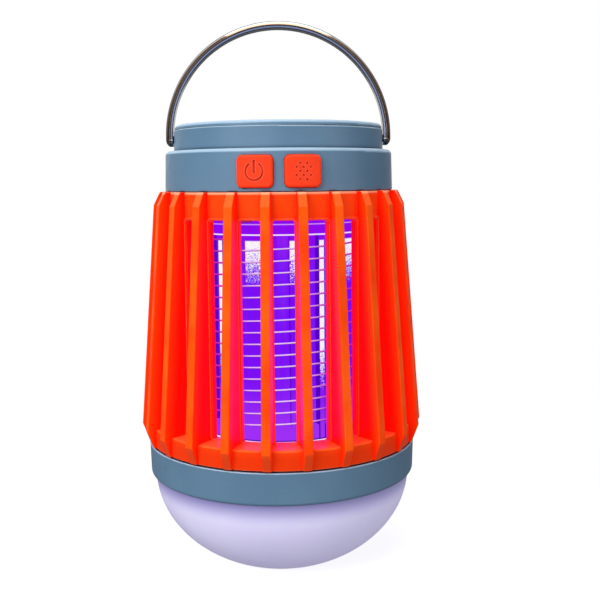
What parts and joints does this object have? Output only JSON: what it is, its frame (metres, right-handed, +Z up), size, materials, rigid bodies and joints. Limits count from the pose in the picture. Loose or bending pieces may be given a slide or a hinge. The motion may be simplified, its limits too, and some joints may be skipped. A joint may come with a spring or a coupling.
{
  "type": "bug zapper lantern",
  "caption": "Rechargeable camping bug zapper: ribbed cage round a lit killing grid, round cap with two push buttons and a folding bail handle, frosted lamp dome beneath.",
  "frame": {"origin": "centre of the flat foot under the lamp dome", "axes": "+Z up the axis to the handle, the two buttons face -Y, and the handle's pegs lie along X"},
  "size_m": [0.0903, 0.0903, 0.1712],
  "materials": {
    "cap_plastic": "blue-grey ABS with a fine satin texture",
    "cage_plastic": "bright orange ABS, satin",
    "handle_steel": "polished steel strap with lengthwise drawing marks",
    "button_rubber": "orange silicone, matte",
    "plunger_plastic": "plain moulded",
    "black_plastic": "moulded epoxy",
    "circuit_board": "green solder mask",
    "lamp_board_white": "white solder mask",
    "port_steel": "plated",
    "port_rubber": "soft, dark blue-grey",
    "cell_wrap": "shrink wrap",
    "nickel": "nickel strip",
    "inner_plastic": "dark grey ABS",
    "tray_plastic": "pale ABS flooded with violet light",
    "red_insulation": "silicone insulation",
    "screw_steel": "zinc plated",
    "frame_plastic": "pale translucent plastic",
    "grid_wire_steel": "drawn wire",
    "terminal_brass": "bright",
    "tube_plastic": "clear tube glowing violet",
    "violet_led": "lit",
    "white_led": "yellow-white lens, unlit",
    "seal_rubber": "matte",
    "dome_plastic": "frosted pale lavender diffuser"
  },
  "bodies": {
    "housing": {"cap_shell": "cap_plastic", "top_cover": "cap_plastic", "lamp_ring": "cap_plastic", "cage": "cage_plastic", "tact_switches": "black_plastic", "control_chips": "black_plastic", "hv_module": "black_plastic", "control_board": "circuit_board", "charge_board": "circuit_board", "lamp_board": "lamp_board_white", "uv_strips": "lamp_board_white", "usb_socket": "port_steel", "usb_cover_pin": "port_steel", "battery": "cell_wrap", "battery_contacts": "nickel", "cap_base": "inner_plastic", "catch_tray": "tray_plastic", "led_post": "inner_plastic", "hv_leads": "red_insulation", "lamp_leads": "red_insulation", "cover_screws": "screw_steel", "case_screws": "screw_steel", "grid_screws": "screw_steel", "base_screws": "screw_steel", "lamp_board_screws": "screw_steel", "charge_board_screws": "screw_steel", "grid_frame": "frame_plastic", "grid_wire_live": "grid_wire_steel", "grid_wire_return": "grid_wire_steel", "grid_terminals": "terminal_brass", "light_tube": "tube_plastic", "uv_leds": "violet_led", "lamp_leds": "white_led", "cover_seal": "seal_rubber", "dome_seal": "seal_rubber", "dome": "dome_plastic"},
    "handle": {"bail_handle": "handle_steel"},
    "power_button": {"power_button": "button_rubber", "power_plunger": "plunger_plastic"},
    "lamp_button": {"lamp_button": "button_rubber", "lamp_plunger": "plunger_plastic"},
    "port_cover": {"usb_cover": "port_rubber"}
  },
  "joints": [
    {"name": "handle_swing", "type": "hinge", "parent": "housing", "child": "handle", "pos_m": [0, 0, 0.13473], "axis": [1, 0, 0], "range_deg": [-90, 90]},
    {"name": "power_press", "type": "slide", "parent": "housing", "child": "power_button", "axis": [0, 1, 0], "range_m": [0, 0.0006], "stiffness_N_per_m": 1200},
    {"name": "lamp_press", "type": "slide", "parent": "housing", "child": "lamp_button", "axis": [0, 1, 0], "range_m": [0, 0.0006], "stiffness_N_per_m": 1200},
    {"name": "port_cover_open", "type": "hinge", "parent": "housing", "child": "port_cover", "pos_m": [0, 0.035, 0.12103], "axis": [-1, 0, 0], "range_deg": [0, 105]}
  ]
}
